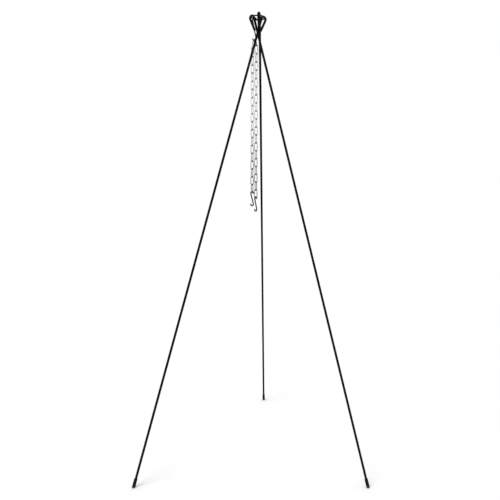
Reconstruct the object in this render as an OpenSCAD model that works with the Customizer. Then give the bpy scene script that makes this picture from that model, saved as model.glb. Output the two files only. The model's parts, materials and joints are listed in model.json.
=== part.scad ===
// Campfire tripod: three steel legs with eyes joined on a ring, a doubled chain and two pot hooks.
// Sizes are in millimetres, Z is up and the feet stand on Z = 0.

/* [Legs] */
// diameter of the round bar of a leg
rod_d = 9.5; // [8:0.5:9.5]
// lean of a leg from the vertical, in degrees
leg_tilt = 16.6; // [16:0.1:17.5]
// height at which the legs cross
neck_height = 1775; // [1500:5:1900]
// distance of a leg's centreline from the tripod's axis at the crossing
crossing_offset = 6; // [5.8:0.1:6.6]

/* [Leg eyes] */
// bend radius of the eye, to the middle of the bar
eye_bend_r = 9; // [9:0.25:10]
// length of straight bar from the crossing to the start of the eye's bend
eye_rise = 61; // [60.5:0.5:63]
// lean of the returning bar towards the leg, in degrees
eye_close = 9; // [6:0.5:9.5]
// length of the straight returning bar
eye_return = 48; // [38:1:48]
// turn of the left leg's eye about its bar, in degrees
left_eye_turn = 0; // [-10:1:14]
// turn of the right leg's eye about its bar, in degrees
right_eye_turn = 0; // [-12:1:14]
// turn of the rear leg's eye about its bar, in degrees
rear_eye_turn = -14; // [-16:1:0]

/* [Foot caps] */
// outside diameter of a foot cap
cap_d = 13; // [12.5:0.1:14]
// length of a foot cap
cap_length = 35; // [25:1:45]
// thickness of a foot cap under the end of the bar
cap_floor = 4; // [3.5:0.5:6]
// radius of the round edge at the bottom of a foot cap
cap_edge_r = 3; // [2:0.25:3.5]
// depth worn off the bottom of a foot cap along the leg
cap_wear = 0.6; // [0.5:0.1:1]
// clearance between a foot cap and its bar
cap_fit = 0.05; // [0.02:0.01:0.1]

/* [Head ring] */
// wire diameter of the ring
ring_wire = 5; // [4:0.25:5]
// height of the ring above the crossing
ring_rise = 56; // [54.5:0.25:56.5]
// distance from a leg's bar to the ring's wire, outwards from the axis
ring_reach = 9.2; // [8.8:0.05:9.4]

/* [Hanger hook] */
// wire diameter of the hanger hook
hanger_wire = 5; // [4:0.25:5]
// radius of the upper bow, to the middle of the wire
hanger_top_r = 9; // [8.5:0.1:11]
// radius of the lower bow, to the middle of the wire
hanger_bottom_r = 8; // [7.8:0.1:8.6]
// distance between the centres of the two bows
hanger_drop = 71.6; // [66:0.2:78]
// direction of the hanger hook from the axis, in degrees from the X axis
hanger_azimuth = 129; // [127:0.5:132]
// turn of the hanger hook and all that hangs on it about the vertical, in degrees
hanger_turn = -28; // [-32:0.5:-20]

/* [Chain] */
// wire diameter of a chain link
link_wire = 4; // [3.5:0.25:4]
// distance from one link to the next along a strand
link_pitch = 32; // [30:0.5:34]
// outside width of a chain link
link_width = 16; // [15.5:0.1:16.2]
// distance between the two strands
strand_gap = 18; // [18:0.1:19]
// length of the connecting link that lowers the right strand
connector_pitch = 22; // [21:0.5:26]
// clearance where wire hangs on wire
wire_play = 0.3; // [0.3:0.05:0.4]

/* [Pot hooks] */
// wire diameter of a pot hook
hook_wire = 5.5; // [4.5:0.25:5.5]
// radius of the two bows, to the middle of the wire
hook_r = 6.8; // [6.5:0.1:7]
// distance between the centres of the two bows
hook_drop = 46; // [40:1:60]
// turn of the left pot hook from square to its last link, in degrees
left_hook_turn = -6; // [-12:1:6]
// turn of the right pot hook from square to its last link, in degrees
right_hook_turn = -6; // [-12:1:6]

/* [Hidden] */
$fn = 64;
left_azimuth = 210;
right_azimuth = 330;
rear_azimuth = 90;
black = [0.07, 0.07, 0.08];
zinc = [0.75, 0.76, 0.78];
dark_steel = [0.22, 0.22, 0.23];
vinyl = [0.05, 0.05, 0.05];
tip_angle = 20;
edge_step = 15;
quarter_turn = 90;
half_turn = 180;
join_step = 0.02;
join_lap = 0.3;
foot_radius = neck_height * tan(leg_tilt);
axis_x = crossing_offset / 2;
axis_y = crossing_offset * sqrt(3) / 4 - foot_radius / 4;
bar_below = neck_height / cos(leg_tilt);
bar_end = bar_below + cap_wear - cap_floor;
ring_r = norm([crossing_offset, ring_rise * tan(leg_tilt) + ring_reach]);
ring_z = neck_height + ring_rise;
hanger_x = ring_r * cos(hanger_azimuth);
hanger_y = ring_r * sin(hanger_azimuth);
hanger_top_z = ring_z + ring_wire / 2 + wire_play + hanger_wire / 2 - hanger_top_r;
hanger_bottom_z = hanger_top_z - hanger_drop;
bow_r = (link_width - link_wire) / 2;
link_length = link_pitch + wire_play + link_wire;
connector_length = connector_pitch + wire_play + link_wire;
link_step = link_wire + wire_play;
first_side = (link_wire + 2 * wire_play) / 2;
first_reach = hanger_bottom_r - hanger_wire / 2 - link_wire / 2 - wire_play;
first_z = hanger_bottom_z - sqrt(first_reach * first_reach - first_side * first_side);
left_lean = asin((strand_gap / 2 - first_side) / link_length);
right_lean = asin((strand_gap / 2 - first_side) / connector_length);
left_x = -strand_gap / 2;
right_x = strand_gap / 2;
left_second_z = first_z - link_length * cos(left_lean) + link_step;
right_first_z = first_z - connector_length * cos(right_lean) + link_step;
hook_step = hook_wire / 2 + link_wire / 2 + wire_play;
last_left = 19;
last_right = 19;

// part of a wire ring standing in the XZ plane
module bow(r, wire, start, sweep) {
  rotate([quarter_turn, 0, 0])
    rotate([0, 0, start])
      rotate_extrude(angle = sweep)
        translate([r, 0])
          circle(d = wire);
}

// stands the tripod's axis so that the feet lie around the origin
module at_axis() {
  translate([axis_x, axis_y, 0])
    children();
}

// puts the Z axis on the plumb line under the hanger hook, with the strands side by side along X
module at_hanger() {
  at_axis()
    translate([hanger_x, hanger_y, 0])
      rotate([0, 0, hanger_turn])
        children();
}

// puts a leg's own frame at the crossing, with Z along the bar
module on_leg(azimuth, turn) {
  at_axis()
    rotate([0, 0, azimuth])
      translate([0, -crossing_offset, neck_height])
        rotate([0, -leg_tilt, 0])
          rotate([0, 0, turn])
            children();
}

// one bar: straight leg, bend of the eye and returning bar
module leg_bar() {
  translate([0, 0, -bar_end])
    cylinder(d = rod_d - 2 * join_step, h = bar_end + eye_rise + join_lap);
  translate([-eye_bend_r, 0, eye_rise])
    bow(eye_bend_r, rod_d, 0, half_turn + eye_close);
  translate([-eye_bend_r, 0, eye_rise])
    rotate([0, -eye_close, 0])
      translate([-eye_bend_r, 0, -eye_return])
        cylinder(d = rod_d - 2 * join_step, h = eye_return + join_lap);
}

// outline of a foot cap from its axis outwards
module cap_outline() {
  edge = [for (a = [0 : edge_step : quarter_turn]) [
    cap_d / 2 - cap_edge_r + cap_edge_r * sin(a),
    cap_edge_r - cap_edge_r * cos(a)
  ]];
  polygon(concat([[0, 0]], edge, [
    [cap_d / 2, cap_length],
    [rod_d / 2 + cap_fit, cap_length],
    [rod_d / 2 + cap_fit, cap_floor],
    [0, cap_floor]
  ]));
}

// one foot cap on its bar, flat where it stands on the ground
module foot_cap(azimuth) {
  difference() {
    on_leg(azimuth, 0)
      translate([0, 0, -bar_end - cap_floor])
        rotate_extrude()
          cap_outline();
    at_axis()
      rotate([0, 0, azimuth])
        translate([foot_radius - cap_d, -crossing_offset - cap_d, -cap_d])
          cube([2 * cap_d, 2 * cap_d, cap_d]);
  }
}

// a wire hook with an upper bow, a slanting shank and a lower bow
module wire_hook(wire, top_r, bottom_r, drop) {
  slant = asin((top_r + bottom_r) / drop);
  shank = drop * cos(slant);
  bow(top_r, wire, -tip_angle, half_turn + slant + tip_angle);
  rotate([0, -slant, 0])
    translate([-top_r, 0, -shank - join_lap])
      cylinder(d = wire - 2 * join_step, h = shank + 2 * join_lap);
  translate([0, 0, -drop])
    bow(bottom_r, wire, half_turn - tip_angle, half_turn + slant + tip_angle);
}

// a long chain link in the XZ plane, hanging from the middle of its upper wire
module chain_link(length) {
  translate([0, 0, -bow_r])
    bow(bow_r, link_wire, 0, half_turn);
  translate([0, 0, bow_r - length])
    bow(bow_r, link_wire, half_turn, half_turn);
  for (side = [-1, 1])
    translate([side * bow_r, 0, bow_r - length])
      cylinder(d = link_wire, h = length - 2 * bow_r);
}

// a link that leans sideways from the hanger hook
module first_link(side, lean, length) {
  at_hanger()
    translate([side * first_side, 0, first_z])
      rotate([0, -side * lean, 0])
        rotate([0, 0, quarter_turn])
          chain_link(length);
}

// link number i of the left strand, every second one turned a quarter
module left_link(i) {
  color(zinc)
    at_hanger()
      translate([left_x, 0, left_second_z - (i - 2) * link_pitch])
        rotate([0, 0, quarter_turn * (i % 2)])
          chain_link(link_length);
}

// link number i of the right strand, every second one turned a quarter
module right_link(i) {
  color(zinc)
    at_hanger()
      translate([right_x, 0, right_first_z - (i - 1) * link_pitch])
        rotate([0, 0, quarter_turn * ((i + 1) % 2)])
          chain_link(link_length);
}

// a pot hook whose upper bow hangs on the lower wire of a last link
module pot_hook(x, wire_z, turn) {
  color(dark_steel)
    at_hanger()
      translate([x, 0, wire_z + hook_step - hook_r])
        rotate([0, 0, turn])
          wire_hook(hook_wire, hook_r, hook_r, hook_drop);
}

module leg_left() {
  color(black)
    on_leg(left_azimuth, left_eye_turn)
      leg_bar();
}

module leg_right() {
  color(black)
    on_leg(right_azimuth, right_eye_turn)
      leg_bar();
}

module leg_rear() {
  color(black)
    on_leg(rear_azimuth, rear_eye_turn)
      leg_bar();
}

module foot_cap_left() {
  color(vinyl)
    foot_cap(left_azimuth);
}

module foot_cap_right() {
  color(vinyl)
    foot_cap(right_azimuth);
}

module foot_cap_rear() {
  color(vinyl)
    foot_cap(rear_azimuth);
}

module head_ring() {
  color(black)
    at_axis()
      translate([0, 0, ring_z])
        rotate_extrude()
          translate([ring_r, 0])
            circle(d = ring_wire);
}

module hanger_hook() {
  color(black)
    at_hanger()
      translate([0, 0, hanger_top_z])
        wire_hook(hanger_wire, hanger_top_r, hanger_bottom_r, hanger_drop);
}

module connecting_link() {
  color(black)
    first_link(1, right_lean, connector_length);
}

module left_link_01() {
  color(zinc)
    first_link(-1, left_lean, link_length);
}

module left_link_02() {
  left_link(2);
}

module left_link_03() {
  left_link(3);
}

module left_link_04() {
  left_link(4);
}

module left_link_05() {
  left_link(5);
}

module left_link_06() {
  left_link(6);
}

module left_link_07() {
  left_link(7);
}

module left_link_08() {
  left_link(8);
}

module left_link_09() {
  left_link(9);
}

module left_link_10() {
  left_link(10);
}

module left_link_11() {
  left_link(11);
}

module left_link_12() {
  left_link(12);
}

module left_link_13() {
  left_link(13);
}

module left_link_14() {
  left_link(14);
}

module left_link_15() {
  left_link(15);
}

module left_link_16() {
  left_link(16);
}

module left_link_17() {
  left_link(17);
}

module left_link_18() {
  left_link(18);
}

module left_link_19() {
  left_link(19);
}

module right_link_01() {
  right_link(1);
}

module right_link_02() {
  right_link(2);
}

module right_link_03() {
  right_link(3);
}

module right_link_04() {
  right_link(4);
}

module right_link_05() {
  right_link(5);
}

module right_link_06() {
  right_link(6);
}

module right_link_07() {
  right_link(7);
}

module right_link_08() {
  right_link(8);
}

module right_link_09() {
  right_link(9);
}

module right_link_10() {
  right_link(10);
}

module right_link_11() {
  right_link(11);
}

module right_link_12() {
  right_link(12);
}

module right_link_13() {
  right_link(13);
}

module right_link_14() {
  right_link(14);
}

module right_link_15() {
  right_link(15);
}

module right_link_16() {
  right_link(16);
}

module right_link_17() {
  right_link(17);
}

module right_link_18() {
  right_link(18);
}

module right_link_19() {
  right_link(19);
}

module pot_hook_left() {
  wire_z = left_second_z - (last_left - 2) * link_pitch - link_length;
  pot_hook(left_x, wire_z, left_hook_turn);
}

module pot_hook_right() {
  wire_z = right_first_z - (last_right - 1) * link_pitch - link_length;
  pot_hook(right_x, wire_z, quarter_turn + right_hook_turn);
}

leg_left();
leg_right();
leg_rear();
foot_cap_left();
foot_cap_right();
foot_cap_rear();
head_ring();
hanger_hook();
connecting_link();
left_link_01();
left_link_02();
left_link_03();
left_link_04();
left_link_05();
left_link_06();
left_link_07();
left_link_08();
left_link_09();
left_link_10();
left_link_11();
left_link_12();
left_link_13();
left_link_14();
left_link_15();
left_link_16();
left_link_17();
left_link_18();
left_link_19();
right_link_01();
right_link_02();
right_link_03();
right_link_04();
right_link_05();
right_link_06();
right_link_07();
right_link_08();
right_link_09();
right_link_10();
right_link_11();
right_link_12();
right_link_13();
right_link_14();
right_link_15();
right_link_16();
right_link_17();
right_link_18();
right_link_19();
pot_hook_left();
pot_hook_right();
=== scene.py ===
import json
import math

import bmesh
import bpy
import numpy as np
from mathutils import Matrix, Vector

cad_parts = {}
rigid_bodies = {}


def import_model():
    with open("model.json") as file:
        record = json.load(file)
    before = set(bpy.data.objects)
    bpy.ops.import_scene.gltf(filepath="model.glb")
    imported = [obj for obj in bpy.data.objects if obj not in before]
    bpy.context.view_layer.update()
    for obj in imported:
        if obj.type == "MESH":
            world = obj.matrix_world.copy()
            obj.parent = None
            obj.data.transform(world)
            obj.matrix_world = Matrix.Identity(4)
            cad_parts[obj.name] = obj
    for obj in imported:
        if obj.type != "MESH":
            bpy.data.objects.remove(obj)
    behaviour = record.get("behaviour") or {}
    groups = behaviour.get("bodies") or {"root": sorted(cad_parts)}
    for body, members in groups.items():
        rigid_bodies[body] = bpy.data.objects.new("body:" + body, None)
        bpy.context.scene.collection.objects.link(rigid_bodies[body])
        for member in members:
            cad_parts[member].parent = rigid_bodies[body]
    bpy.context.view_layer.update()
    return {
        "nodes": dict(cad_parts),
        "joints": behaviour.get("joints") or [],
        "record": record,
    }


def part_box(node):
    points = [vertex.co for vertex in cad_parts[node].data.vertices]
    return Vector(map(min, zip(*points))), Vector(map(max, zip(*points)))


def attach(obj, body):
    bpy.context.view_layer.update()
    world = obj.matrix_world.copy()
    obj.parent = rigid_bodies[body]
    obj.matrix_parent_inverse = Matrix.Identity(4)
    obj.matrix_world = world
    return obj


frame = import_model()

MM = 0.001

# camera of the photograph: metres, degrees, and pixels of its square frame
PHOTO_SIDE = 500.0
CAMERA_PLACE = (0.1263, -2.1899, 1.1816)
CAMERA_YAW = 2.288
CAMERA_PITCH = 7.613
CAMERA_ROLL = 0.995
FOCAL_PIXELS = 493.0
OPTICAL_CENTRE_X = 306.3
SENSOR_WIDTH = 36.0
FARTHEST_SEEN = 200.0

# light of the sky on matt faces, and the soft key light with its spread in degrees
SKY_LIGHT = 0.72
KEY_LIGHT = 1.40
KEY_SPREAD = 40.0
KEY_TOWARD = (0.45, 0.55, -1.0)

# half the side of the floor in metres
FLOOR_REACH = 60.0

# weld bead on a closed wire link: its size, its lumps as shares of its height, and the lumps' waves
BEAD_HALF_LENGTH = 2.6 * MM
BEAD_HEIGHT = 0.32 * MM
BEAD_SINK = 0.04 * MM
BEAD_ROUND_STEPS = 20
BEAD_LONG_STEPS = 10
BROAD_LUMP = 0.22
BROAD_WAVES = 3
BROAD_SHIFT = 1.7
FINE_LUMP = 0.14
FINE_WAVES = 5
FINE_SLANT = 4.0
RING_BEAD_ANGLE = 228.0

# rolled lip at the top of a foot cap, and how far the slanted rim reaches below its highest point
LIP_RADIUS = 0.55 * MM
LIP_INSET = 0.7
LIP_ROUND_STEPS = 32
LIP_WIRE_STEPS = 10
RIM_SLANT = 5.0 * MM

# height above the pot hooks at which soot on the chain starts to thin and at which it ends, and how
# ragged its edge is, in metres
SOOT_START = 0.04
SOOT_END = 0.30
SOOT_RAGGED = 0.12

# how far the coating is rubbed away around each place that bears on the head ring
RUB_REACH = 6.0 * MM

CHAIN_LINKS = sorted(n for n in frame["nodes"] if "_link_" in n)
FOOT_CAPS = sorted(n for n in frame["nodes"] if n.startswith("foot_cap"))
POT_HOOKS = sorted(n for n in frame["nodes"] if n.startswith("pot_hook"))
BODY_OF = {node: body for body, nodes in frame["record"]["behaviour"]["bodies"].items() for node in nodes}
BEARINGS = [joint["pos_m"] for joint in frame["joints"] if joint["parent"] == BODY_OF["head_ring"]]


def grey(level, warmth=0.0):
    """A grey colour, a little warm or cool."""
    return (level * (1.0 + warmth), level, level * (1.0 - warmth), 1.0)


# how strongly each mark covers what is under it, from 0 to 1
RUB_WEIGHT = 0.7
DUST_WEIGHT = 0.4
SCUFF_WEIGHT = 0.7
DULL_WEIGHT = 0.7
TOE_WEIGHT = 0.6
SOOT_WEIGHT = 0.64
SPOT_WEIGHT = 0.5
GROUND_SCUFF_WEIGHT = 0.8

# tones of the finishes
COAT_DEEP = grey(0.001)
COAT_FADED = grey(0.004)
COAT_DUST = grey(0.020, 0.03)
COAT_SCUFF = grey(0.028, 0.02)
BARE_STEEL = grey(0.18, 0.04)
ZINC_PLAIN = grey(0.74, -0.02)
ZINC_BRIGHT = grey(0.84, -0.02)
ZINC_DULL = grey(0.56, -0.01)
# dark tone for the tips of the chain links: partly wear, partly painted shade where neighbouring links bear
# on each other
ZINC_WORN_AND_SHADE = grey(0.16)
WELD_DARK = grey(0.44, -0.02)
WELD_LIGHT = grey(0.68, -0.02)
WELD_TOE = grey(0.18)
SOOT_BLACK = grey(0.10, 0.02)
WIRE_OILED = grey(0.012, -0.03)
WIRE_DRY = grey(0.035, 0.02)
WIRE_RUBBED = grey(0.14, 0.04)
VINYL_DARK = grey(0.002, 0.15)
VINYL_LIGHT = grey(0.006, 0.15)
VINYL_SCUFF = grey(0.13, 0.10)
FLOOR_DARK = grey(0.940)
FLOOR_LIGHT = grey(0.950)
SKY_WHITE = grey(1.0)


def socket_of(sockets, key):
    """A socket by its number, its identifier, or its name among those in use."""
    if isinstance(key, int):
        return sockets[key]
    return next(s for s in sockets if s.identifier == key or s.name == key and s.enabled)


def both_ways(operation):
    """An operator between values, and its reflected form."""
    def forward(self, other):
        return self.nodes.calculate(operation, self, other)

    def reflected(self, other):
        return self.nodes.calculate(operation, other, self)

    return forward, reflected


class Value:
    """A socket of a node, for use in plain arithmetic."""

    def __init__(self, nodes, socket):
        self.nodes = nodes
        self.socket = socket

    __add__, __radd__ = both_ways("ADD")
    __sub__, __rsub__ = both_ways("SUBTRACT")
    __mul__, __rmul__ = both_ways("MULTIPLY")
    __truediv__, __rtruediv__ = both_ways("DIVIDE")

    def clamp(self):
        return self.nodes.calculate("MAXIMUM", self.nodes.calculate("MINIMUM", self, 1.0), 0.0)

    def output(self, key):
        """Another output of the same node."""
        return Value(self.nodes, socket_of(self.socket.node.outputs, key))


class Nodes:
    """A node tree to which nodes are added with their settings and sockets."""

    def __init__(self, tree):
        self.tree = tree
        tree.nodes.clear()

    def plug(self, node, key, value):
        socket = socket_of(node.inputs, key)
        if isinstance(value, Value):
            self.tree.links.new(value.socket, socket)
        else:
            socket.default_value = value

    def add(self, kind, settings=None, sockets=None, output=0):
        node = self.tree.nodes.new(kind)
        for key, value in (settings or {}).items():
            setattr(node, key, value)
        for key, value in (sockets or {}).items():
            self.plug(node, key, value)
        return Value(self, socket_of(node.outputs, output)) if node.outputs else node

    def calculate(self, operation, *values):
        return self.add("ShaderNodeMath", {"operation": operation}, dict(enumerate(values)))

    def vector(self, operation, first, second):
        return self.add("ShaderNodeVectorMath", {"operation": operation}, {0: first, 1: second}, "Vector")

    def distance(self, first, second):
        return self.add("ShaderNodeVectorMath", {"operation": "DISTANCE"}, {0: first, 1: second}, "Value")

    def place(self, space="Object"):
        return self.add("ShaderNodeTexCoord", output=space)

    def height(self, space="Object"):
        return self.add("ShaderNodeSeparateXYZ", sockets={"Vector": self.place(space)}, output="Z")

    def noise(self, size, detail, drawn_out=1.0):
        """Soft lumps of about the given size, drawn out along Z by a factor."""
        spacing = (1.0 / size, 1.0 / size, 1.0 / (size * drawn_out))
        place = self.vector("MULTIPLY", self.place(), spacing)
        return self.add("ShaderNodeTexNoise", sockets={"Vector": place, "Scale": 1.0, "Detail": detail})

    def ramp(self, value, low, high):
        return ((value - low) / (high - low)).clamp()

    def mix(self, factor, first, second):
        sockets = {"Factor_Float": factor, "A_Color": first, "B_Color": second}
        return self.add("ShaderNodeMix", {"data_type": "RGBA"}, sockets, "Result_Color")

    def bump(self, height, strength, depth):
        return self.add("ShaderNodeBump", sockets={"Height": height, "Strength": strength, "Distance": depth})


class Finish(Nodes):
    """A material around one Principled shader."""

    def __init__(self, name):
        self.material = bpy.data.materials.new(name)
        self.material.use_nodes = True
        super().__init__(self.material.node_tree)

    def set(self, **sockets):
        named = {key.replace("_", " "): value for key, value in sockets.items()}
        shader = self.add("ShaderNodeBsdfPrincipled", sockets=named)
        self.add("ShaderNodeOutputMaterial", sockets={"Surface": shader})
        return self.material


def wire_circle(node):
    """Middle, radius of the centre line and radius of the wire of a level wire ring."""
    low, high = (Vector(corner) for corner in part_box(node))
    wire = (high.z - low.z) / 2
    return (low + high) / 2, (high.x - low.x) / 2 - wire, wire


def black_coat():
    """Satin black coating with long scuffs, rubbed to bare steel where pieces bear on the head ring."""
    finish = Finish("black_coat")
    wire = wire_circle("head_ring")[2]
    away = finish.distance(finish.place(), BEARINGS[0])
    for bearing in BEARINGS[1:]:
        away = finish.calculate("MINIMUM", away, finish.distance(finish.place(), bearing))
    near = 1.0 - finish.ramp(away, wire, wire + RUB_REACH)
    patchy = finish.ramp(finish.noise(size=2.4 * MM, detail=4.0), low=0.40, high=0.62)
    rubbed = RUB_WEIGHT * near * patchy
    cloud = finish.noise(size=38.0 * MM, detail=4.0)
    peel = finish.noise(size=0.7 * MM, detail=2.0)
    specks = finish.ramp(finish.noise(size=0.42 * MM, detail=1.0), low=0.68, high=0.76)
    scuffs = finish.ramp(finish.noise(size=4.0 * MM, detail=6.0, drawn_out=9.0), low=0.62, high=0.72)
    paint = finish.mix(cloud, COAT_DEEP, COAT_FADED)
    dusty = finish.mix(DUST_WEIGHT * specks, paint, COAT_DUST)
    scuffed = finish.mix(SCUFF_WEIGHT * scuffs, dusty, COAT_SCUFF)
    return finish.set(
        Base_Color=finish.mix(rubbed, scuffed, BARE_STEEL),
        Metallic=rubbed,
        Roughness=0.34 + 0.18 * cloud + 0.15 * scuffs - 0.08 * rubbed,
        Specular_IOR_Level=0.04,
        Normal=finish.bump(peel, strength=0.15, depth=0.08 * MM),
    )


def soot(finish, patches):
    """How sooty the chain is: most of all just above the pot hooks, and not at all near the head."""
    height = finish.height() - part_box(POT_HOOKS[0])[1][2]
    return 1.0 - finish.ramp(height + SOOT_RAGGED * (patches - 0.5), SOOT_START, SOOT_END)


def near_ends(finish, patches, ragged, low, high):
    """How near a place is to the upper or lower end of its piece, with a ragged edge."""
    from_middle = finish.calculate("ABSOLUTE", finish.height("Generated") - 0.5)
    return finish.ramp(from_middle + ragged * (patches - 0.5), low, high)


def zinc_plate():
    """Bright zinc plating with draw marks, dull patches, link tips darkened by wear and by painted contact
    shade, and soot towards the fire.
    """
    finish = Finish("zinc_plate")
    dull = finish.ramp(finish.noise(size=6.7 * MM, detail=5.0), low=0.40, high=0.68)
    tone = finish.noise(size=55.0 * MM, detail=2.0)
    draw = finish.noise(size=0.5 * MM, detail=3.0, drawn_out=10.0)
    grain = finish.noise(size=0.4 * MM, detail=2.0)
    # darkening at the tips of each link: wear, together with painted shade where neighbouring links meet
    worn_shaded_ends = near_ends(finish, dull, ragged=0.10, low=0.33, high=0.46)
    sooty = soot(finish, dull)
    bright = finish.mix(tone, ZINC_PLAIN, ZINC_BRIGHT)
    plated = finish.mix(DULL_WEIGHT * dull, bright, ZINC_DULL)
    worn_and_shaded = finish.mix(worn_shaded_ends, plated, ZINC_WORN_AND_SHADE)
    return finish.set(
        Base_Color=finish.mix(SOOT_WEIGHT * sooty, worn_and_shaded, SOOT_BLACK),
        Metallic=1.0,
        Roughness=0.24 + 0.18 * dull + 0.08 * draw + 0.12 * worn_shaded_ends + 0.10 * sooty,
        Normal=finish.bump(0.7 * draw + 0.3 * grain, strength=0.20, depth=0.05 * MM),
    )


def weld_bead():
    """Zinc over rough weld metal, duller than the drawn wire, dark where they meet, and as sooty."""
    finish = Finish("weld_bead")
    lumps = finish.noise(size=1.1 * MM, detail=4.0)
    toes = near_ends(finish, lumps, ragged=0.16, low=0.28, high=0.48)
    plated = finish.mix(lumps, WELD_DARK, WELD_LIGHT)
    edged = finish.mix(TOE_WEIGHT * toes, plated, WELD_TOE)
    sooty = soot(finish, lumps)
    return finish.set(
        Base_Color=finish.mix(SOOT_WEIGHT * sooty, edged, SOOT_BLACK),
        Metallic=1.0,
        Roughness=0.34 + 0.25 * lumps + 0.10 * sooty,
        Normal=finish.bump(lumps, strength=0.6, depth=0.20 * MM),
    )


def dark_wire():
    """Dark oiled steel wire with drawn streaks and lighter rubbed spots."""
    finish = Finish("dark_wire")
    streak = finish.noise(size=0.55 * MM, detail=4.0, drawn_out=8.5)
    spots = finish.ramp(finish.noise(size=3.0 * MM, detail=5.0), low=0.56, high=0.70)
    oiled = finish.mix(streak, WIRE_OILED, WIRE_DRY)
    return finish.set(
        Base_Color=finish.mix(SPOT_WEIGHT * spots, oiled, WIRE_RUBBED),
        Metallic=0.85,
        Roughness=0.30 + 0.18 * streak + 0.08 * spots,
        Normal=finish.bump(streak, strength=0.25, depth=0.06 * MM),
    )


def dipped_vinyl():
    """Matt black vinyl, scuffed grey where it meets the ground."""
    finish = Finish("dipped_vinyl")
    low = 1.0 - finish.ramp(finish.height(), low=0.5 * MM, high=15.0 * MM)
    patchy = finish.ramp(finish.noise(size=6.0 * MM, detail=5.0), low=0.44, high=0.60)
    scuffed = GROUND_SCUFF_WEIGHT * low * patchy
    grain = finish.noise(size=0.53 * MM, detail=3.0)
    cloud = finish.noise(size=11.0 * MM, detail=3.0)
    vinyl = finish.mix(cloud, VINYL_DARK, VINYL_LIGHT)
    return finish.set(
        Base_Color=finish.mix(scuffed, vinyl, VINYL_SCUFF),
        Roughness=0.52 + 0.16 * grain + 0.20 * scuffed,
        Specular_IOR_Level=0.08,
        Normal=finish.bump(grain, strength=0.35, depth=0.10 * MM),
    )


def pale_floor():
    """Plain pale paper with a faint cloud in its tone."""
    finish = Finish("pale_floor")
    cloud = finish.noise(size=0.33, detail=2.0)
    return finish.set(
        Base_Color=finish.mix(cloud, FLOOR_DARK, FLOOR_LIGHT),
        Roughness=1.0,
        Specular_IOR_Level=0.0,
    )


def dress(node, material):
    """Give a CAD node its finish."""
    mesh = frame["nodes"][node].data
    mesh.materials.clear()
    mesh.materials.append(material)


def node_points(node):
    """The points of a CAD node's mesh."""
    mesh = frame["nodes"][node].data
    points = np.empty(len(mesh.vertices) * 3)
    mesh.vertices.foreach_get("co", points)
    return points.reshape(-1, 3)


def own_axes(node):
    """Middle, own axes from longest to shortest, and half sizes along them, of a CAD node."""
    points = node_points(node)
    axes = np.linalg.svd(points - (points.max(0) + points.min(0)) / 2, full_matrices=False)[2]
    along = points @ axes.T
    low, high = along.min(0), along.max(0)
    middle = ((low + high) / 2) @ axes
    return Vector(middle), [Vector(a) for a in axes], [float(v) for v in (high - low) / 2]


def square_axes(along):
    """Two axes square to a direction and to each other."""
    first = along.orthogonal().normalized()
    return first, along.cross(first).normalized()


def turned(first, second, angle):
    return math.cos(angle) * first + math.sin(angle) * second


def round_wall(name, rings, material, body, closed=False):
    """Skin over equal rings of points, smooth shaded, riding on a body."""
    mesh = bmesh.new()
    rows = [[mesh.verts.new(p) for p in ring] for ring in rings]
    pairs = list(zip(rows, rows[1:])) + ([(rows[-1], rows[0])] if closed else [])
    for first, second in pairs:
        for i in range(len(first)):
            j = (i + 1) % len(first)
            mesh.faces.new((first[i], first[j], second[j], second[i]))
    if not closed:
        mesh.faces.new(reversed(rows[0]))
        mesh.faces.new(rows[-1])
    bmesh.ops.recalc_face_normals(mesh, faces=mesh.faces)
    data = bpy.data.meshes.new(name)
    mesh.to_mesh(data)
    mesh.free()
    data.shade_smooth()
    data.materials.append(material)
    piece = bpy.data.objects.new(name, data)
    bpy.context.collection.objects.link(piece)
    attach(piece, body)


def bead(name, middle, along, wire, material, body, seed):
    """A lumpy weld collar around a straight stretch of wire."""
    first, second = square_axes(along)
    rings = []
    for i in range(BEAD_LONG_STEPS + 1):
        t = 2.0 * i / BEAD_LONG_STEPS - 1.0
        rise = BEAD_HEIGHT * (1.0 - t * t) - BEAD_SINK
        ring = []
        for k in range(BEAD_ROUND_STEPS):
            a = 2.0 * math.pi * k / BEAD_ROUND_STEPS
            broad = BROAD_LUMP * math.sin(BROAD_WAVES * a + BROAD_SHIFT * seed)
            fine = FINE_LUMP * math.sin(FINE_WAVES * a + FINE_SLANT * t + seed)
            outward = turned(first, second, a) * (wire + rise * (1.0 + broad + fine))
            ring.append(middle + along * (t * BEAD_HALF_LENGTH) + outward)
        rings.append(ring)
    round_wall(name, rings, material, body)


def link_bead(node, material, seed):
    """Weld bead half way down one side of a chain link, on alternate sides."""
    middle, axes, half = own_axes(node)
    wire = half[2]
    side = axes[1] * math.copysign(1.0, axes[1].x + axes[1].y)
    place = middle + side * (half[1] - wire) * (1.0 if seed % 2 else -1.0)
    bead(node + "_weld", place, axes[0], wire, material, BODY_OF[node], seed)


def ring_bead(material):
    """Weld bead on the free front left part of the head ring."""
    middle, radius, wire = wire_circle("head_ring")
    angle = math.radians(RING_BEAD_ANGLE)
    outward = Vector((math.cos(angle), math.sin(angle), 0.0))
    along = Vector((-math.sin(angle), math.cos(angle), 0.0))
    place = middle + radius * outward
    seed = len(CHAIN_LINKS)
    bead("head_ring_weld", place, along, wire, material, BODY_OF["head_ring"], seed)


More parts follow.
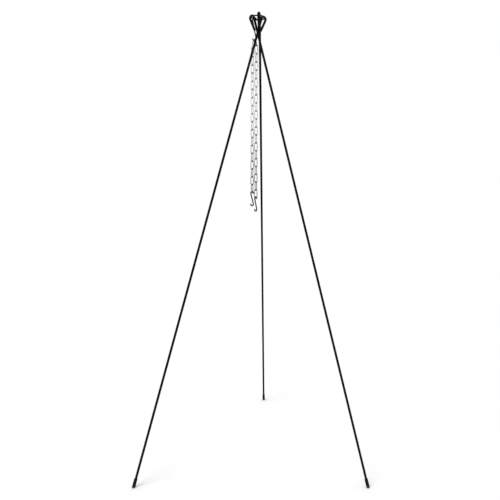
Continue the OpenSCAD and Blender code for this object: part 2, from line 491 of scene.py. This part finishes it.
def cap_lip(node, material):
    """Rolled lip around the top of a foot cap."""
    points = node_points(node)
    rim = points[points[:, 2] > points[:, 2].max() - RIM_SLANT]
    centre = Vector(rim.mean(0))
    first, second, up = (Vector(a) for a in np.linalg.svd(rim - rim.mean(0), full_matrices=False)[2])
    radius = max((Vector(p) - centre).length for p in rim) - LIP_RADIUS * LIP_INSET
    rings = []
    for i in range(LIP_ROUND_STEPS):
        outward = turned(first, second, 2.0 * math.pi * i / LIP_ROUND_STEPS)
        steps = (2.0 * math.pi * k / LIP_WIRE_STEPS for k in range(LIP_WIRE_STEPS))
        rings.append([centre + outward * radius + LIP_RADIUS * turned(outward, up, b) for b in steps])
    round_wall(node + "_lip", rings, material, BODY_OF[node], closed=True)


def white_world():
    """Sky that is white to the eye, to metal and through glass, and softer on matt faces."""
    world = bpy.data.worlds.new("studio")
    bpy.context.scene.world = world
    world.use_nodes = True
    nodes = Nodes(world.node_tree)
    camera = nodes.add("ShaderNodeLightPath", output="Is Camera Ray")
    mirrored = camera.output("Is Glossy Ray")
    through = camera.output("Is Transmission Ray")
    seen = nodes.calculate("MAXIMUM", camera, nodes.calculate("MAXIMUM", mirrored, through))
    strength = SKY_LIGHT + (1.0 - SKY_LIGHT) * seen
    sky = nodes.add("ShaderNodeBackground", sockets={"Color": SKY_WHITE, "Strength": strength})
    nodes.add("ShaderNodeOutputWorld", sockets={"Surface": sky})


def floor():
    """Level floor that keeps the shadow."""
    r = FLOOR_REACH
    mesh = bpy.data.meshes.new("floor")
    mesh.from_pydata([(-r, -r, 0), (r, -r, 0), (r, r, 0), (-r, r, 0)], [], [(0, 1, 2, 3)])
    mesh.materials.append(pale_floor())
    ground = bpy.data.objects.new("floor", mesh)
    bpy.context.collection.objects.link(ground)


def key_light():
    lamp = bpy.data.lights.new("key_light", "SUN")
    lamp.angle = math.radians(KEY_SPREAD)
    lamp.energy = KEY_LIGHT
    light = bpy.data.objects.new("key_light", lamp)
    light.rotation_euler = Vector(KEY_TOWARD).to_track_quat("-Z", "Y").to_euler()
    bpy.context.collection.objects.link(light)


def photo_camera():
    """Camera at the photograph's place, turned by yaw, pitch and roll."""
    yaw, pitch, roll = (math.radians(a) for a in (CAMERA_YAW, CAMERA_PITCH, CAMERA_ROLL))
    level = Vector((math.sin(yaw), math.cos(yaw), 0.0))
    ahead = turned(level, Vector((0.0, 0.0, -1.0)), pitch)
    right = Vector((math.cos(yaw), -math.sin(yaw), 0.0))
    up = right.cross(ahead)
    lens = bpy.data.cameras.new("photo_camera")
    lens.sensor_width = SENSOR_WIDTH
    lens.lens = SENSOR_WIDTH * FOCAL_PIXELS / PHOTO_SIDE
    lens.shift_x = (PHOTO_SIDE / 2 - OPTICAL_CENTRE_X) / PHOTO_SIDE
    lens.clip_end = FARTHEST_SEEN
    camera = bpy.data.objects.new("photo_camera", lens)
    turn = Matrix((turned(right, up, roll), turned(up, -right, roll), -ahead)).transposed().to_4x4()
    camera.matrix_world = Matrix.Translation(CAMERA_PLACE) @ turn
    bpy.context.collection.objects.link(camera)
    bpy.context.scene.camera = camera


coat = black_coat()
zinc = zinc_plate()
welded = weld_bead()
wire_steel = dark_wire()
vinyl = dipped_vinyl()

for node in frame["nodes"]:
    dress(node, coat)
for number, node in enumerate(CHAIN_LINKS):
    dress(node, zinc)
    link_bead(node, welded, number)
for node in POT_HOOKS:
    dress(node, wire_steel)
for node in FOOT_CAPS:
    dress(node, vinyl)
    cap_lip(node, vinyl)
link_bead("connecting_link", coat, 0)
ring_bead(coat)

white_world()
floor()
key_light()
photo_camera()
bpy.context.scene.view_settings.view_transform = "Standard"
